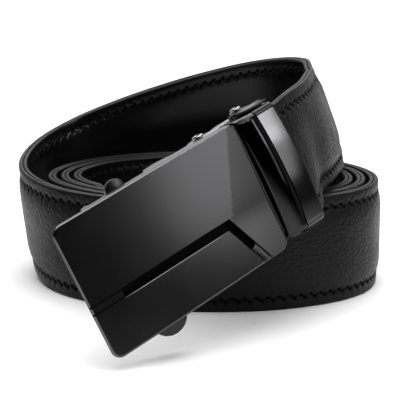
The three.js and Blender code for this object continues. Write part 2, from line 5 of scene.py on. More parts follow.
import bmesh
import bpy
import numpy as np
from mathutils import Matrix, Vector, noise


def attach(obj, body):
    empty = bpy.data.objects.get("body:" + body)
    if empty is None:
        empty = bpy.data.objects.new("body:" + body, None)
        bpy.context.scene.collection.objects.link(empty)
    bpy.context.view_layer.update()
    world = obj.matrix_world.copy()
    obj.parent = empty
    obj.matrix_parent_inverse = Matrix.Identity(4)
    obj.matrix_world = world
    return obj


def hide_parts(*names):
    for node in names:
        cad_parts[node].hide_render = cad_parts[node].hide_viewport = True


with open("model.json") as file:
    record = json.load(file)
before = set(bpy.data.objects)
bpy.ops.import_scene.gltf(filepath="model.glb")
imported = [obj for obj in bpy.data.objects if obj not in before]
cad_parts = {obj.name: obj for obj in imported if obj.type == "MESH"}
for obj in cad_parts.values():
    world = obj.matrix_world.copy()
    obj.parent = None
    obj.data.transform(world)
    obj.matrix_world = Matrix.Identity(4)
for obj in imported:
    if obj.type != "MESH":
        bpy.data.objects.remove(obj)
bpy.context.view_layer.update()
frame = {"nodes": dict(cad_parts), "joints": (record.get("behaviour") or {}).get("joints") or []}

rng = np.random.default_rng(7)
MM = 0.001

# Sizes below repeat the belt's own, in millimetres and degrees.
STRAP_WIDTH = 35.0
HALF_STRAP = STRAP_WIDTH / 2
LAYER = 1.4
SEAM = 0.15
PAD = 0.85
STITCH_INSET = 3.7
STITCH_PITCH = 3.6
STITCH_HALF = 1.125
STITCH_SLANT = 0.42
HOLE_LONG, HOLE_WIDE = 0.5, 0.46
FACE_HOLE_DEPTH, LINING_HOLE_DEPTH = 0.95, 0.5
TIP_TAPER = 20.0
TIP_BLUNT = 0.34
COIL_X, COIL_Y = 1.5, 6.0
TURN_DROP = 4.25
LAST_ANGLE = 1320.0
BUCKLE_AT = (-5.5, -87.5, 33.5)
YAW, RISE, LEAN = 37.4, 21.2, 14.6
PLATE_LEFT, PLATE_RIGHT, PLATE_HALF = -33.2, 31.7, 20.0
PLATE_THICKNESS, PLATE_CORNER = 2.4, 3.0
SLOT_LEVEL, SLOT_WIDTH = -4.8, 2.7
ELBOW = np.array([15.8, SLOT_LEVEL])
ARM_FOOT = np.array([23.0, -PLATE_HALF])
LEFT_FILLER, RIGHT_FILLER = 10.6, 6.4
GROOVE_WIDTH, GROOVE_DEPTH = 0.5, 0.7
LEVER_PIN = (24.8, -9.9)
CLAMP_PIN = (41.0, -10.9)
HOOD_LEFT, HOOD_RIGHT, HOOD_SEAM = 33.2, 47.4, 40.2
HOOD_HALF, HOOD_SIDE, HOOD_CROWN = 18.0, 19.2, 1.9
STRAP_IN_CLAMP_W, STRAP_START_U = -5.35, 33.8
HOOD_FRONT, BAR_RISE, LINE_LEVEL = -0.9, 0.5, -1.75
HOOD_FLAT_HALF, HOOD_SKIRT, HOOD_INNER, SIDE_GAP = 17.6, -6.9, -3.5, 0.3
WALL_OUTER, CHEEK_OUTER = 19.2, 20.3

# angle, reach, lift, lean, along
RAISED = [
    (-49.5, 54.9, 36.2, -0.043, -0.322),
    (-38, 50.5, 37.3, -0.126, -0.325),
    (-26, 47.6, 38.1, -0.219, -0.332),
    (-14, 46.5, 38.4, -0.324, -0.309),
    (0, 46.1, 38.3, -0.387, -0.259),
    (14, 48.4, 38.2, -0.435, -0.209),
    (28, 53.7, 38.4, -0.493, -0.136),
    (42, 56.4, 38.1, -0.364, -0.099),
    (56, 59, 37.2, -0.339, -0.077),
    (72, 60.5, 35, -0.36, -0.054),
    (90, 59.2, 30, -0.304, 0.023),
    (108, 57.2, 24.2, -0.18, 0.065),
    (126, 56.3, 18.5, -0.024, 0.044),
    (144, 57.6, 13.1, 0.107, -0.054),
    (160, 58.2, 8.5, 0.16, -0.105),
    (174, 58, 5, 0.148, -0.12),
    (187, 56.7, 2.7, 0.125, -0.096),
    (200, 55.4, 1.2, 0.078, -0.053),
    (213, 54.2, 0.4, 0.044, -0.015),
    (226, 52.7, 0, 0.015, 0),
]
# angle, reach
GROUND = [
    (240, 51.3), (270, 50), (300, 53.2), (330, 57.9), (360, 56.4), (390, 51.2),
    (420, 49.2), (450, 46.2), (480, 46.6), (513, 49.4), (546, 51.6), (573, 49.3),
]


def deg(a):
    return math.radians(a)


def unit(a):
    a = np.asarray(a, float)
    return a / np.linalg.norm(a, axis=-1, keepdims=True)


def smoothstep(x, a, b):
    t = np.clip((np.asarray(x, float) - a) / (b - a), 0, 1)
    return t * t * (3 - 2 * t)


# Buckle axes in the row frame
U = np.array([math.cos(deg(RISE)) * math.cos(deg(YAW)), math.cos(deg(RISE)) * math.sin(deg(YAW)),
              math.sin(deg(RISE))])
LEVEL_OUT = np.array([math.sin(deg(YAW)), -math.cos(deg(YAW)), 0.0])
V = unit(unit(np.cross(LEVEL_OUT, U)) * math.cos(deg(LEAN)) - LEVEL_OUT * math.sin(deg(LEAN)))
W = unit(np.cross(U, V))
swivel = next(j for j in frame["joints"] if j["name"] == "buckle_swivel")
ORIGIN = np.array(swivel["pos_m"]) / MM - CLAMP_PIN[0] * U - CLAMP_PIN[1] * W
SHIFT = ORIGIN - np.array(BUCKLE_AT)


def in_buckle(p):
    """Buckle coordinates (u, v, w) in mm to the row frame in mm."""
    p = np.asarray(p, float)
    return ORIGIN + p[..., 0:1] * U + p[..., 1:2] * V + p[..., 2:3] * W


# Mesh helpers
def new_object(name, mesh):
    obj = bpy.data.objects.new(name, mesh)
    bpy.context.scene.collection.objects.link(obj)
    return obj


def mesh_object(name, verts_mm, faces, smooth_angle=35.0):
    mesh = bpy.data.meshes.new(name)
    mesh.from_pydata((np.asarray(verts_mm, float) * MM).tolist(), [], [list(f) for f in faces])
    mesh.validate(clean_customdata=False)
    mesh.update()
    obj = new_object(name, mesh)
    shade(obj, smooth_angle)
    return obj


def shade(obj, angle):
    mesh = obj.data
    for p in mesh.polygons:
        p.use_smooth = True
    mesh.set_sharp_from_angle(angle=deg(angle))


def loft(rings, closed_ring=True, cap=True):
    """Vertices and faces of a skin through rings of equal length."""
    rings = np.asarray(rings, float)
    n, m = rings.shape[:2]
    verts = rings.reshape(-1, 3)
    faces = []
    span = m if closed_ring else m - 1
    for i in range(n - 1):
        for j in range(span):
            a, b = i * m + j, i * m + (j + 1) % m
            faces.append((a, b, b + m, a + m))
    if cap:
        faces.append(tuple(range(m - 1, -1, -1)))
        faces.append(tuple((n - 1) * m + j for j in range(m)))
    return verts, faces


def face_outward(obj):
    bm = bmesh.new()
    bm.from_mesh(obj.data)
    bmesh.ops.recalc_face_normals(bm, faces=bm.faces)
    bm.to_mesh(obj.data)
    bm.free()


def apply_modifiers(obj):
    depsgraph = bpy.context.evaluated_depsgraph_get()
    mesh = bpy.data.meshes.new_from_object(obj.evaluated_get(depsgraph))
    obj.modifiers.clear()
    obj.data = mesh


def combine(obj, other, operation):
    mod = obj.modifiers.new("combine", "BOOLEAN")
    mod.operation = operation
    mod.solver = "EXACT"
    mod.object = other
    apply_modifiers(obj)
    bpy.data.objects.remove(other)


def bevel(obj, width, segments=2, angle=28.0):
    mod = obj.modifiers.new("bevel", "BEVEL")
    mod.width = width * MM
    mod.segments = segments
    mod.limit_method = "ANGLE"
    mod.angle_limit = deg(angle)
    mod.miter_outer = "MITER_ARC"
    mod.use_clamp_overlap = True
    apply_modifiers(obj)


# Strap line: the same curve as the solid strap, sampled finely
def catmull(p0, p1, p2, p3, t):
    return 0.5 * (2 * p1 + (p2 - p0) * t + (2 * p0 - 5 * p1 + 4 * p2 - p3) * t * t
                  + (-p0 + 3 * p1 - 3 * p2 + p3) * t ** 3)


def ground_reach(angle):
    count = len(GROUND)
    turn = math.floor((angle - GROUND[0][0]) / 360)
    local = angle - turn * 360
    i = 0
    while i < count - 1 and GROUND[i + 1][0] <= local:
        i += 1

    def row(k):
        wrap = k // count
        a, r = GROUND[k % count]
        return a + wrap * 360, r - wrap * TURN_DROP

    rows = [row(i + k) for k in (-1, 0, 1, 2)]
    t = (local - rows[1][0]) / (rows[2][0] - rows[1][0])
    return catmull(*[r[1] for r in rows], t) - turn * TURN_DROP


def station(angle, reach, lift, lean, along):
    out = np.array([math.cos(deg(angle)), math.sin(deg(angle)), 0.0])
    side = np.array([-out[1], out[0], 0.0])
    across = unit(np.array([0, 0, 1.0]) + out * lean + side * along)
    foot = np.array([COIL_X, COIL_Y, lift]) + out * reach + SHIFT
    return foot, across


def curve_points(points, per_span):
    """Centripetal Catmull-Rom points, per_span to each span."""
    p = np.asarray(points, float)
    p = np.vstack([2 * p[0] - p[1], p, 2 * p[-1] - p[-2]])
    result = []
    for i in range(1, len(p) - 2):
        p0, p1, p2, p3 = p[i - 1:i + 3]
        spans = (p1 - p0, p2 - p1, p3 - p2)
        d0, d1, d2 = (max(1e-4, np.linalg.norm(span)) ** 0.5 for span in spans)
        t1 = ((p1 - p0) / d0 - (p2 - p0) / (d0 + d1) + (p2 - p1) / d1) * d1
        t2 = ((p2 - p1) / d1 - (p3 - p1) / (d1 + d2) + (p3 - p2) / d2) * d1
        for t in np.arange(per_span) / per_span:
            result.append(p1 + t1 * t + (-3 * p1 + 3 * p2 - 2 * t1 - t2) * t * t
                          + (2 * p1 - 2 * p2 + t1 + t2) * t ** 3)
    result.append(p[-2])
    return np.array(result)


def strap_line():
    feet, heads = [], []
    for u in (STRAP_START_U, 38.7, 43.6, 48.4):
        foot = in_buckle(np.array([u, -HALF_STRAP, STRAP_IN_CLAMP_W]))
        feet.append(foot)
        heads.append(foot + STRAP_WIDTH * V)
    rows = [station(*r) for r in RAISED]
    angle = GROUND[0][0]
    while angle <= LAST_ANGLE + 1e-6:
        rows.append(station(angle, ground_reach(angle), 0, 0, 0))
        angle += 13.5
    for foot, across in rows:
        feet.append(foot)
        heads.append(foot + STRAP_WIDTH * across)
    feet, heads = curve_points(feet, 40), curve_points(heads, 40)
    across = unit(heads - feet)
    middle = feet + across * HALF_STRAP
    run = np.concatenate([[0], np.cumsum(np.linalg.norm(np.diff(middle, axis=0), axis=1))])
    return run, middle, across


LINE_RUN, LINE_MIDDLE, LINE_ACROSS = strap_line()
STRAP_LENGTH = float(LINE_RUN[-1])


def strap_frames(run):
    """Middle, across, out and along of the strap at the given runs."""
    run = np.asarray(run, float)
    clipped = np.clip(run, 0, STRAP_LENGTH)
    at = lambda table, r: np.stack([np.interp(r, LINE_RUN, table[:, k]) for k in range(3)], -1)
    middle = at(LINE_MIDDLE, clipped)
    across = unit(at(LINE_ACROSS, clipped))
    reach = 2.3
    ahead = at(LINE_MIDDLE, np.clip(clipped + reach, 0, STRAP_LENGTH))
    behind = at(LINE_MIDDLE, np.clip(clipped - reach, 0, STRAP_LENGTH))
    tangent = unit(ahead - behind)
    out = unit(np.cross(tangent, across))
    middle = middle + tangent * (run - clipped)[..., None]
    return middle, across, out, unit(np.cross(across, out))


def half_width(run):
    left = np.maximum(0, STRAP_LENGTH - np.asarray(run, float))
    share = np.where(left >= TIP_TAPER, 1, TIP_BLUNT + (1 - TIP_BLUNT) * np.sqrt(left / TIP_TAPER))
    return HALF_STRAP * share


def stitch_runs():
    first, last = 3.0, STRAP_LENGTH - TIP_TAPER - 2
    count = int((last - first) / STITCH_PITCH)
    return first + STITCH_PITCH * (np.arange(count) + 0.5)


STITCHES = stitch_runs()


def sewn_share(run):
    """1 along the sewn run, falling to 0 past its ends."""
    return smoothstep(run, 2, 5) * (1 - smoothstep(run, STITCHES[-1], STITCHES[-1] + 3))


def hole(run, inset, side):
    """How deep a point lies in one of the two holes of its stitch, from 0 to 1."""
    ahead = (run - STITCHES[0] + STITCH_PITCH / 2) % STITCH_PITCH - STITCH_PITCH / 2
    centre = STITCH_INSET - side * np.sign(ahead) * STITCH_SLANT
    along = (np.abs(ahead) - STITCH_HALF) / HOLE_LONG
    across = (inset - centre) / HOLE_WIDE
    return np.exp(-along ** 2 - across ** 2) * sewn_share(run)


def face_height(run, inset, side):
    """Height of the outer leather over the seam line, in mm."""
    free = smoothstep(run, 14, 26)
    edge = SEAM + LAYER - 0.05 * np.exp(-((inset - 0.8) / 0.7) ** 2)
    furrow = 0.16 * np.exp(-((inset - STITCH_INSET) / 0.7) ** 2) * (0.35 + 0.65 * sewn_share(run))
    padding = PAD * smoothstep(inset, STITCH_INSET - 0.2, STITCH_INSET + 4.0) * free
    return edge + padding - furrow - FACE_HOLE_DEPTH * hole(run, inset, side)


def lining_depth(run, inset, side):
    """Depth of the lining under the seam line, in mm."""
    furrow = 0.12 * np.exp(-((inset - STITCH_INSET) / 0.65) ** 2) * (0.35 + 0.65 * sewn_share(run))
    swell = 0.12 * smoothstep(inset, STITCH_INSET + 0.2, STITCH_INSET + 2.4) * smoothstep(run, 14, 26)
    pierced = LINING_HOLE_DEPTH * hole(run + 0.5 * STITCH_PITCH, inset, side)
    return SEAM + LAYER - 0.04 - furrow - pierced + swell


def ripple(points, scale, seed):
    """Smooth noise over an array of points in mm."""
    flat = points.reshape(-1, 3)
    values = np.array([noise.noise(Vector(p) * scale + Vector((seed, 2 * seed, -seed))) for p in flat])
    return values.reshape(points.shape[:-1])


# Rings keep step with the stitches: eight to each, two of them through its holes.
STEP = STITCH_PITCH / 8
runs = STITCHES[0] + STEP * (np.arange(-12, STRAP_LENGTH / STEP) + 0.5)
runs = np.concatenate([[0.0], runs[(runs > 0.1) & (runs < STRAP_LENGTH - 0.1)], [STRAP_LENGTH]])
INSETS = np.array([0.0, 0.1, 0.4, 0.9, 1.8, 2.6, 3.0, 3.28, 3.7, 4.12, 4.4, 5.0, 6.2, 8.4, 12.5])


def layer_rings(height_at, sign):
    """Rings of a strap layer: outer skin across the width, rounded edges and a plain back."""
    middle, across, out, _ = strap_frames(runs)
    half = half_width(runs)
    share = half / HALF_STRAP
    columns = []
    for side, insets in ((1, INSETS), (-1, INSETS[::-1])):
        for inset in insets:
            distance = side * (half - inset * share)
            height = height_at(runs, np.full_like(runs, inset), side)
            if inset < 0.9:
                height = height - 0.5 * (1 - math.sqrt(max(0.0, 1 - (1 - inset / 0.9) ** 2)))
            columns.append((distance, sign * height))
    back = sign * SEAM
    bulge = sign * (SEAM + 0.45)
    columns.append((-half - 0.05, np.full_like(runs, bulge)))
    columns.append((-half + 0.12, np.full_like(runs, back)))
    columns.append((half - 0.12, np.full_like(runs, back)))
    columns.append((half + 0.05, np.full_like(runs, bulge)))
    rings = np.stack([middle + across * d[:, None] + out * h[:, None] for d, h in columns], 1)
    insets = [(half - np.abs(d)) for d, _ in columns]
    return rings, np.stack(insets, 1), np.stack([np.broadcast_to(d, half.shape) for d, _ in columns], 1), out


def strap_layer(name, height_at, sign, swell, materials):
    rings, insets, distances, out = layer_rings(height_at, sign)
    skin = np.zeros(rings.shape[1], bool)
    skin[2:2 * len(INSETS) - 2] = True
    wave = ripple(rings, 0.16, 3.0 * sign) * swell + ripple(rings, 0.55, 5.0 * sign) * swell * 0.45
    fade = smoothstep(insets, 0.6, 5.5) * skin[None, :] * smoothstep(runs, 15, 26)[:, None]
    rings = rings + out[:, None, :] * (wave * fade)[..., None]
    rings[..., 2] = np.maximum(rings[..., 2], 0.02)
    verts, faces = loft(rings)
    obj = mesh_object(name, verts, faces, 50)
    n, m = rings.shape[:2]
    uv = obj.data.uv_layers.new(name="strap_mm")
    coords = np.stack([np.repeat(runs, m), distances.reshape(-1)], -1)
    index = np.zeros(len(obj.data.loops), int)
    obj.data.loops.foreach_get("vertex_index", index)
    uv.data.foreach_set("uv", coords[index].reshape(-1).astype(np.float32))
    shift = 0.0 if sign > 0 else 0.5 * STITCH_PITCH
    pierced = hole(runs[:, None] + shift, insets * HALF_STRAP / half_width(runs)[:, None], np.sign(distances))
    needle = obj.data.attributes.new("pierced", "FLOAT", "POINT")
    needle.data.foreach_set("value", pierced.reshape(-1).astype(np.float32))
    for m_ in materials:
        obj.data.materials.append(m_)
    side_columns = set(range(2 * len(INSETS) - 2, m)) | {0, 1}
    for p in obj.data.polygons:
        columns = [v % m for v in p.vertices]
        p.material_index = 1 if all(c in side_columns for c in columns) else 0
    face_outward(obj)
    return obj


def tube(points, radius, sides, normal_hint):
    points = np.asarray(points, float)
    tangent = unit(np.gradient(points, axis=0))
    side = unit(np.cross(tangent, np.broadcast_to(normal_hint, tangent.shape)))
    up = np.cross(side, tangent)
    radius = np.broadcast_to(radius, (len(points),))
    ring = []
    for k in range(sides):
        a = 2 * math.pi * k / sides
        ring.append(points + (side * math.cos(a) + up * math.sin(a)) * radius[:, None])
    return np.stack(ring, 1)


def stitching(name, height_at, sign, offset, material):
    verts, faces = [], []
    count = 0
    t = np.linspace(-1, 1, 7)
    for start in STITCHES + offset:
        for side in (1, -1):
            jitter = rng.normal(0, 0.06, 2)
            run = start + t * STITCH_HALF + jitter[0]
            inset = STITCH_INSET - side * t * STITCH_SLANT + jitter[1]
            middle, across, out, _ = strap_frames(run)
            height = height_at(run, inset, side) + 0.2 * (1 - np.abs(t) ** 2.6) - 0.14
            distance = side * (half_width(run) - inset)
            points = middle + across * distance[:, None] + out * (sign * height)[:, None]
            radius = 0.27 * np.sqrt(np.maximum(0.12, 1 - 0.75 * t ** 4))
            ring = tube(points, radius, 7, out[3])
            ring[..., 2] = np.maximum(ring[..., 2], 0.05)
            v, f = loft(ring)
            verts.append(v)
            faces += [tuple(i + count for i in face) for face in f]
            count += len(v)
    obj = mesh_object(name, np.vstack(verts), faces, 60)
    obj.data.materials.append(material)
    face_outward(obj)
    return obj


def track():
    """Moulded toothed strip behind the tip, with side rails."""
    back = -(SEAM + LAYER + 0.3)
    pitch, length, floor, tooth = 6.3, 190.0, 0.8, 0.85
    start = STRAP_LENGTH - 26 - length
    teeth = round(length / pitch)
    shares = [(0, 0.02), (0.06, 0.05), (0.5, 0.5), (0.8, 0.84), (0.87, 0.97), (0.92, 1.0), (0.955, 0.93),
              (0.985, 0.3)]
    runs_, depths = [], []
    for i in range(teeth):
        for share, rise in shares:
            runs_.append(start + (i + share) * pitch)
            depths.append(floor + tooth * rise)
    runs_.append(start + teeth * pitch)
    depths.append(floor)
    runs_, depths = np.array(runs_), np.array(depths)
    middle, across, out, _ = strap_frames(runs_)
    rail = floor + 0.62
    rows = [(-7.5, 0.0), (-7.5, rail - 0.15), (-7.35, rail), (-6.55, rail), (-6.4, rail - 0.15), (-6.4, floor),
            (-5.9, None), (5.9, None), (6.4, floor), (6.4, rail - 0.15), (6.55, rail), (7.35, rail),
            (7.5, rail - 0.15), (7.5, 0.0)]
    ring = []
    for distance, depth in rows:
        d = depths if depth is None else np.full_like(depths, depth)
        ring.append(middle + across * distance + out * (back - d)[:, None])
    verts, faces = loft(np.stack(ring, 1))
    obj = mesh_object("track_strip", verts, faces, 30)
    face_outward(obj)
    return obj


# Materials
def material(name, base, rough, metal=0.0, **sockets):
    m = bpy.data.materials.new(name)
    m.use_nodes = True
    tree = m.node_tree
    shader = tree.nodes["Principled BSDF"]
    shader.inputs["Base Color"].default_value = (*base, 1)
    shader.inputs["Roughness"].default_value = rough
    shader.inputs["Metallic"].default_value = metal
    for key, value in sockets.items():
        shader.inputs[key.replace("_", " ")].default_value = value
    m.diffuse_color = (*base, 1)
    return m, tree, shader


def add(tree, kind, **settings):
    node = tree.nodes.new(kind)
    for key, value in settings.items():
        if key in node.inputs:
            node.inputs[key].default_value = value
        else:
            setattr(node, key, value)
    return node


def spread(tree, source, low, high, out_low, out_high):
    node = add(tree, "ShaderNodeMapRange")
    node.inputs["From Min"].default_value = low
    node.inputs["From Max"].default_value = high
    node.inputs["To Min"].default_value = out_low
    node.inputs["To Max"].default_value = out_high
    tree.links.new(source, node.inputs["Value"])
    return node.outputs["Result"]


def mix_colour(tree, factor, a, b):
    node = add(tree, "ShaderNodeMix", data_type="RGBA")
    node.inputs[6].default_value = (*a, 1)
    node.inputs[7].default_value = (*b, 1)
    tree.links.new(factor, node.inputs[0])
    return node.outputs[2]


def math_node(tree, operation, a, b):
    node = add(tree, "ShaderNodeMath", operation=operation)
    for socket, value in zip(node.inputs, (a, b)):
        if isinstance(value, (int, float)):
            socket.default_value = value
        else:
            tree.links.new(value, socket)
    return node.outputs[0]


def bump(tree, shader, layers):
    """A chain of bump nodes: (height, strength, distance in mm)."""
    normal = None
    for height, strength, distance in layers:
        node = add(tree, "ShaderNodeBump")
        node.inputs["Strength"].default_value = strength
        node.inputs["Distance"].default_value = distance * MM
        tree.links.new(height, node.inputs["Height"])
        if normal is not None:
            tree.links.new(normal, node.inputs["Normal"])
        normal = node.outputs["Normal"]
    tree.links.new(normal, shader.inputs["Normal"])


def strap_coordinates(tree, along, across):
    """The strap's own millimetres, scaled to cells along and across it."""
    uv = add(tree, "ShaderNodeUVMap", uv_map="strap_mm")
    scale = add(tree, "ShaderNodeMapping")
    scale.inputs["Scale"].default_value = (1 / along, 1 / across, 1)
    tree.links.new(uv.outputs[0], scale.inputs[0])
    return scale.outputs[0]


def object_coordinates(tree, size_mm):
    """Object coordinates, one unit to size_mm."""
    where = add(tree, "ShaderNodeTexCoord")
    scale = add(tree, "ShaderNodeMapping")
    scale.inputs["Scale"].default_value = tuple(1 / (s * MM) for s in size_mm)
    tree.links.new(where.outputs["Object"], scale.inputs[0])
    return scale.outputs[0]


def noise_at(tree, coordinates, detail=3.0, scale=1.0, roughness=0.55):
    node = add(tree, "ShaderNodeTexNoise")
    node.inputs["Scale"].default_value = scale
    node.inputs["Detail"].default_value = detail
    node.inputs["Roughness"].default_value = roughness
    tree.links.new(coordinates, node.inputs["Vector"])
    return node.outputs["Fac"]


def cells_at(tree, coordinates, feature="F1", warp=0.35):
    blur = add(tree, "ShaderNodeTexNoise")
    blur.inputs["Scale"].default_value = 0.9
    tree.links.new(coordinates, blur.inputs["Vector"])
    shift = add(tree, "ShaderNodeVectorMath", operation="MULTIPLY_ADD")
    shift.inputs[1].default_value = (warp, warp, warp)
    tree.links.new(blur.outputs["Color"], shift.inputs[0])
    tree.links.new(coordinates, shift.inputs[2])
    node = add(tree, "ShaderNodeTexVoronoi", feature=feature)
    node.inputs["Scale"].default_value = 1.0
    node.inputs["Randomness"].default_value = 0.95
    tree.links.new(shift.outputs[0], node.inputs["Vector"])
    return node.outputs["Distance"]


def darken_holes(tree, shader, level):
    """Hardly any light comes back out of the stitch holes."""
    pierced = add(tree, "ShaderNodeAttribute", attribute_name="pierced")
    tree.links.new(spread(tree, pierced.outputs["Fac"], 0.06, 0.4, level, 0.0), shader.inputs["Specular IOR Level"])


def face_leather():
    m, tree, shader = material("face_leather", (0.004, 0.004, 0.0042), 0.42, Specular_IOR_Level=0.13)
    grain = strap_coordinates(tree, 1.05, 0.85)
    pebble = cells_at(tree, grain, "SMOOTH_F1")
    crease = cells_at(tree, strap_coordinates(tree, 2.8, 1.6), "DISTANCE_TO_EDGE", 0.8)
    fine = noise_at(tree, strap_coordinates(tree, 0.5, 0.4), 4)
    broad = noise_at(tree, strap_coordinates(tree, 26, 14), 4)
    colour = mix_colour(tree, broad, (0.0028, 0.0028, 0.003), (0.0052, 0.0052, 0.0055))
    tree.links.new(colour, shader.inputs["Base Color"])
    worn = math_node(tree, "ADD", spread(tree, broad, 0.3, 0.7, 0.34, 0.46),
                     spread(tree, pebble, 0, 0.8, -0.06, 0.1))
    tree.links.new(worn, shader.inputs["Roughness"])
    bump(tree, shader, [
        (spread(tree, crease, 0.0, 0.09, 0, 1), 0.2, 0.06),
        (spread(tree, pebble, 0.1, 0.75, 1, 0), 0.85, 0.16),
        (fine, 0.25, 0.03),
    ])
    darken_holes(tree, shader, 0.13)
    return m


def edge_paint():
    m, tree, shader = material("edge_paint", (0.005, 0.005, 0.0052), 0.4, Specular_IOR_Level=0.08)
    streak = noise_at(tree, strap_coordinates(tree, 9, 0.35), 4)
    fine = noise_at(tree, object_coordinates(tree, (0.7, 0.7, 0.7)), 3)
    colour = mix_colour(tree, streak, (0.003, 0.003, 0.0032), (0.008, 0.008, 0.0084))
    tree.links.new(colour, shader.inputs["Base Color"])
    tree.links.new(spread(tree, streak, 0.3, 0.7, 0.34, 0.5), shader.inputs["Roughness"])
    bump(tree, shader, [(streak, 0.25, 0.06), (fine, 0.25, 0.04)])
    return m


def lining_leather():
    m, tree, shader = material("lining_leather", (0.0015, 0.0015, 0.0016), 0.3, Specular_IOR_Level=0.3)
    grain = cells_at(tree, strap_coordinates(tree, 0.8, 0.7), "SMOOTH_F1", 0.3)
    fine = noise_at(tree, strap_coordinates(tree, 0.25, 0.25), 3)
    broad = noise_at(tree, strap_coordinates(tree, 30, 9), 4)
    colour = mix_colour(tree, broad, (0.001, 0.001, 0.0011), (0.0022, 0.0022, 0.0023))
    tree.links.new(colour, shader.inputs["Base Color"])
    tree.links.new(spread(tree, broad, 0.3, 0.7, 0.24, 0.36), shader.inputs["Roughness"])
    bump(tree, shader, [(broad, 0.3, 0.25), (spread(tree, grain, 0.1, 0.8, 1, 0), 0.35, 0.05), (fine, 0.2, 0.02)])
    darken_holes(tree, shader, 0.3)
    return m


def thread():
    m, tree, shader = material("sewing_thread", (0.002, 0.002, 0.0021), 0.45, Specular_IOR_Level=0.12)
    where = add(tree, "ShaderNodeTexCoord")
    ply = add(tree, "ShaderNodeTexWave", wave_type="BANDS", bands_direction="DIAGONAL")
    ply.inputs["Scale"].default_value = 420
    ply.inputs["Distortion"].default_value = 0.6
    tree.links.new(where.outputs["Object"], ply.inputs["Vector"])
    colour = mix_colour(tree, ply.outputs["Fac"], (0.001, 0.001, 0.001), (0.004, 0.004, 0.0042))
    tree.links.new(colour, shader.inputs["Base Color"])
    bump(tree, shader, [(ply.outputs["Fac"], 0.5, 0.1)])
    return m


def metal(name, base, rough, vary=0.06, grain=(0.12, 0.12, 0.12), strength=0.1, **sockets):
    m, tree, shader = material(name, base, rough, 1.0, **sockets)
    cloud = noise_at(tree, object_coordinates(tree, (9, 9, 9)), 4)
    fine = noise_at(tree, object_coordinates(tree, grain), 2)
    dark = tuple(c * 0.9 for c in base)
    light = tuple(min(1, c * 1.08) for c in base)
    tree.links.new(mix_colour(tree, cloud, dark, light), shader.inputs["Base Color"])
    both = math_node(tree, "ADD", spread(tree, cloud, 0.3, 0.7, rough - vary / 2, rough + vary / 2),
                     spread(tree, fine, 0.3, 0.7, -vary / 3, vary / 3))
    tree.links.new(both, shader.inputs["Roughness"])
    bump(tree, shader, [(fine, strength, 0.02)])
    return m


def nylon():
    m, tree, shader = material("moulded_nylon", (0.012, 0.012, 0.012), 0.48)
    fine = noise_at(tree, object_coordinates(tree, (0.35, 0.35, 0.35)), 4)
    colour = mix_colour(tree, fine, (0.009, 0.009, 0.009), (0.018, 0.018, 0.018))
    tree.links.new(colour, shader.inputs["Base Color"])
    tree.links.new(spread(tree, fine, 0.3, 0.7, 0.42, 0.56), shader.inputs["Roughness"])
    bump(tree, shader, [(fine, 0.2, 0.03)])
    return m


LEATHER = face_leather()
EDGE = edge_paint()
LINING = lining_leather()
THREAD = thread()
NYLON = nylon()
PLATE = metal("satin_gunmetal", (0.105, 0.105, 0.108), 0.19, 0.02, (0.08, 0.08, 0.08), 0.006)
FRAME_METAL = metal("satin_alloy", (0.24, 0.24, 0.244), 0.36, 0.1, (0.25, 0.25, 0.25), 0.25)
LEVER_METAL = metal("dark_alloy", (0.035, 0.035, 0.036), 0.28, 0.08, (0.3, 0.3, 0.3), 0.15)
# darker copy of the plate metal for the plate's sides and downward-facing faces: painted shade
PLATE_SIDE_SHADE = metal("gunmetal_side_painted_shade", (0.045, 0.045, 0.046), 0.25, 0.03, (0.1, 0.1, 0.1), 0.02)
# near-black copy of the frame metal for the web seen through the slot: painted shade in the slot
WEB_SHADE = metal("web_painted_shade", (0.006, 0.006, 0.0062), 0.4, 0.06, (0.2, 0.2, 0.2), 0.1)
HOOD_BAR = metal("black_gloss_plating", (0.028, 0.028, 0.029), 0.12, 0.03, (0.2, 0.2, 0.2), 0.04)
# darker copy of the hood's black plating for its end faces: painted shade
HOOD_END_SHADE = metal("black_gloss_end_painted_shade", (0.009, 0.009, 0.0092), 0.14, 0.03, (0.2, 0.2, 0.2), 0.04)
HOOD_STRIP = metal("satin_dark_plating", (0.1, 0.1, 0.102), 0.16, 0.05, (0.1, 0.1, 0.1), 0.08)
PIN_METAL = metal("bright_pin", (0.3, 0.3, 0.305), 0.24, 0.08, (0.2, 0.2, 0.2), 0.12)


# Face plate
def rounded_ring(inset, sides_u=80, sides_v=48, corner=6):
    """Rounded rectangle of the plate's outline, drawn in by inset, as (u, v) points of a fixed count."""
    left, right = PLATE_LEFT + inset, PLATE_RIGHT - inset
    half = PLATE_HALF - inset
    half = max(half, 0.0)
    mid = (left + right) / 2
    left, right = min(left, mid), max(right, mid)
    radius = max(0.0, PLATE_CORNER - inset)
    points = []
    corners = [(right - radius, half - radius, 90, 0), (right - radius, -half + radius, 0, -90),
               (left + radius, -half + radius, -90, -180), (left + radius, half - radius, 180, 90)]
    counts = [sides_v, sides_u, sides_v, sides_u]
    for k, (cu, cv, a0, a1) in enumerate(corners):
        for i in range(corner + 1):
            a = deg(a0 + (a1 - a0) * i / corner)
            points.append((cu + radius * math.cos(a), cv + radius * math.sin(a)))
        nu, nv, na, _ = corners[(k + 1) % 4]
        end = (nu + radius * math.cos(deg(na)), nv + radius * math.sin(deg(na)))
        begin = points[-1]
        for i in range(1, counts[k]):
            s = i / counts[k]
            points.append((begin[0] + (end[0] - begin[0]) * s, begin[1] + (end[1] - begin[1]) * s))
    return np.array(points)


CREASE_TOP = np.array([29.0, PLATE_HALF])
CREASE_FOOT = np.array([ELBOW[0] + SLOT_WIDTH / 2, SLOT_LEVEL])
ARM = unit(ARM_FOOT - ELBOW)
BOW = 0.0012
DROOP = 0.0008
BOW_MIDDLE = 12.0
FACET = math.tan(deg(3.6))


def right_of(line_from, line_to, p):
    direction = unit(np.asarray(line_to) - np.asarray(line_from))
    away = np.array([-direction[1], direction[0]])
    return (p - np.asarray(line_from)) @ away


